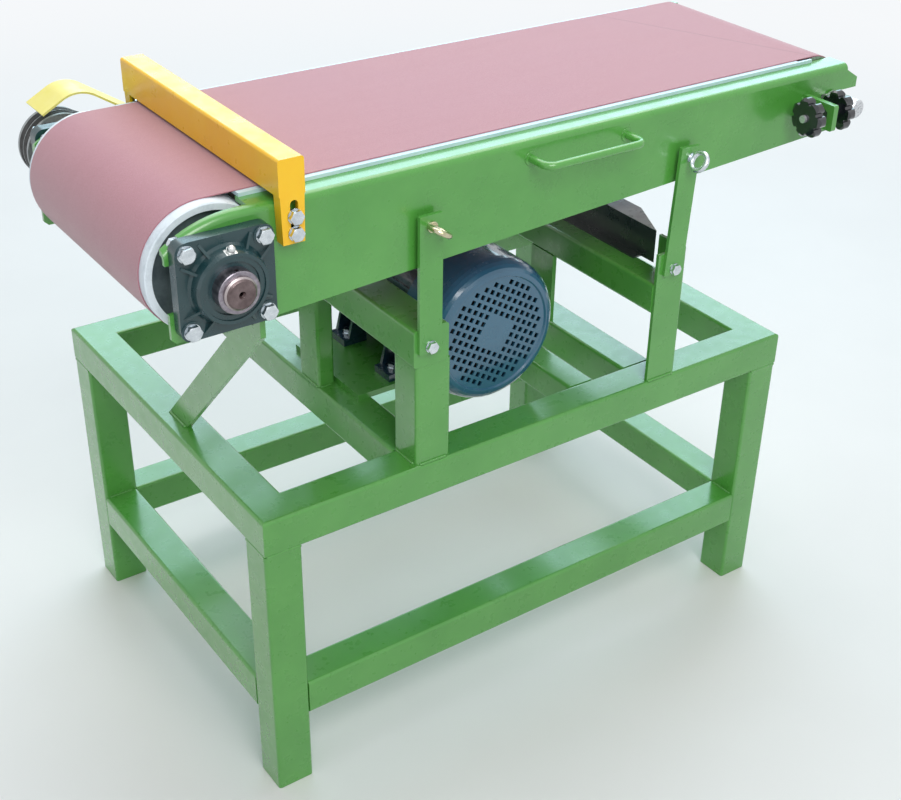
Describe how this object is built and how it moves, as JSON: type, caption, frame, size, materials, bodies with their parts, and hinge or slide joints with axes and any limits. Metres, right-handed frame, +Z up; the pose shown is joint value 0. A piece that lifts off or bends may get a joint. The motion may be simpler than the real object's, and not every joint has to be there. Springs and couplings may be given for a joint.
{
  "type": "belt sanding machine",
  "caption": "Bench-height belt sander: a wide abrasive belt over a steel platen, belt-driven by a motor in a welded tube stand, with a fence and star-knob tension.",
  "frame": {"origin": "centre of the bounding box's footprint, at the floor", "axes": "+X along the sanding belt from the drum to the idler, +Y from the operator's side to the belt drive, +Z up"},
  "size_m": [1.2438, 0.75, 1.039],
  "materials": {
    "frame_green": "semi-gloss enamel",
    "channel_enamel": "glossy enamel",
    "zinc_bolts": "bright zinc plate",
    "platen_steel": "ground",
    "abrasive_cloth": "coated abrasive",
    "drum_white": "satin",
    "shaft_steel": "turned, lightly tarnished",
    "bearing_enamel": "enamelled casting",
    "bearing_steel": "ground",
    "roller_steel": "turned",
    "bright_steel": "bright drawn",
    "knob_black": "glossy moulding",
    "motor_enamel": "glossy enamel",
    "stator_core": "varnished laminations",
    "cover_enamel": "glossy enamel",
    "fan_plastic": "moulded",
    "pulley_iron": "machined casting",
    "drive_rubber": "wrapped rubber",
    "guard_yellow": "semi-gloss enamel",
    "fence_yellow": "semi-gloss enamel"
  },
  "bodies": {
    "machine": {"leg_front_left": "frame_green", "leg_front_right": "frame_green", "leg_rear_left": "frame_green", "leg_rear_right": "frame_green", "rail_upper_front": "frame_green", "rail_upper_rear": "frame_green", "rail_upper_left": "frame_green", "rail_upper_right": "frame_green", "rail_lower_front": "frame_green", "rail_lower_rear": "frame_green", "rail_lower_left": "frame_green", "rail_lower_right": "frame_green", "cross_rail_left": "frame_green", "cross_rail_right": "frame_green", "motor_rail": "frame_green", "motor_base_plate": "frame_green", "post_front_left": "frame_green", "post_front_right": "frame_green", "post_rear_left": "frame_green", "post_rear_right": "frame_green", "beam_left": "frame_green", "beam_right": "frame_green", "head_brace": "frame_green", "mitred_channel": "channel_enamel", "links": "frame_green", "link_bolts": "zinc_bolts", "side_plate_front": "frame_green", "side_plate_rear": "frame_green", "platen": "platen_steel", "head_ties": "frame_green", "lift_handle": "frame_green", "tension_brackets": "frame_green", "sanding_belt": "abrasive_cloth", "bearing_housings": "bearing_enamel", "bearing_bolts": "zinc_bolts", "motor_frame": "motor_enamel", "motor_end_shields": "motor_enamel", "motor_stator": "stator_core", "fan_cover": "cover_enamel", "terminal_box": "motor_enamel", "motor_bolts": "zinc_bolts", "v_belts": "drive_rubber", "belt_guard": "guard_yellow", "fence_bolts": "zinc_bolts"},
    "drum": {"drive_drum": "drum_white", "drum_shaft": "shaft_steel", "bearing_inner_rings": "bearing_steel", "drum_pulley": "pulley_iron"},
    "rotor": {"motor_rotor": "shaft_steel", "cooling_fan": "fan_plastic", "motor_pulley": "pulley_iron"},
    "idler_carriage": {"idler_shaft": "bright_steel", "tension_rods": "bright_steel"},
    "idler": {"idler_roller": "roller_steel", "idler_bearings": "bearing_steel"},
    "knobs_front": {"star_knobs_front": "knob_black"},
    "knobs_rear": {"star_knobs_rear": "knob_black"},
    "eye_left": {"eye_bolt_left": "zinc_bolts"},
    "eye_right": {"eye_bolt_right": "zinc_bolts"},
    "fence_body": {"fence": "fence_yellow"}
  },
  "joints": [
    {"name": "motor_spin", "type": "hinge", "parent": "machine", "child": "rotor", "pos_m": [-0.0401, -0.019, 0.634], "axis": [0, 1, 0], "continuous": true},
    {"name": "drum_spin", "type": "hinge", "parent": "machine", "child": "drum", "pos_m": [-0.5321, -0.0775, 0.896], "axis": [0, 1, 0], "continuous": true},
    {"name": "knobs_front_turn", "type": "hinge", "parent": "machine", "child": "knobs_front", "pos_m": [0.5009, -0.343, 0.927], "axis": [1, 0, 0], "range_deg": [-1030, 0]},
    {"name": "knobs_rear_turn", "type": "hinge", "parent": "machine", "child": "knobs_rear", "pos_m": [0.5009, 0.175, 0.927], "axis": [1, 0, 0], "range_deg": [-1030, 0]},
    {"name": "idler_slide", "type": "slide", "parent": "machine", "child": "idler_carriage", "axis": [1, 0, 0], "range_m": [-0.005, 0]},
    {"name": "idler_spin", "type": "hinge", "parent": "idler_carriage", "child": "idler", "pos_m": [0.5619, -0.074, 0.927], "axis": [0, 1, 0], "continuous": true},
    {"name": "eye_left_turn", "type": "hinge", "parent": "machine", "child": "eye_left", "pos_m": [-0.2271, -0.298, 0.897], "axis": [0, 1, 0], "range_deg": [-180, 0]},
    {"name": "eye_right_turn", "type": "hinge", "parent": "machine", "child": "eye_right", "pos_m": [0.24453, -0.298, 0.89675], "axis": [0, 1, 0], "range_deg": [-180, 0]},
    {"name": "fence_slide", "type": "slide", "parent": "machine", "child": "fence_body", "axis": [0, 0, 1], "range_m": [-0.003, 0.0035]}
  ],
  "couplings": [
    {"joint": "drum_spin", "follows": "motor_spin", "ratio": 1.098},
    {"joint": "idler_spin", "follows": "motor_spin", "ratio": 1.6844},
    {"joint": "knobs_front_turn", "follows": "idler_slide", "rad_per_m": 3590.4},
    {"joint": "knobs_rear_turn", "follows": "idler_slide", "rad_per_m": 3590.4}
  ]
}
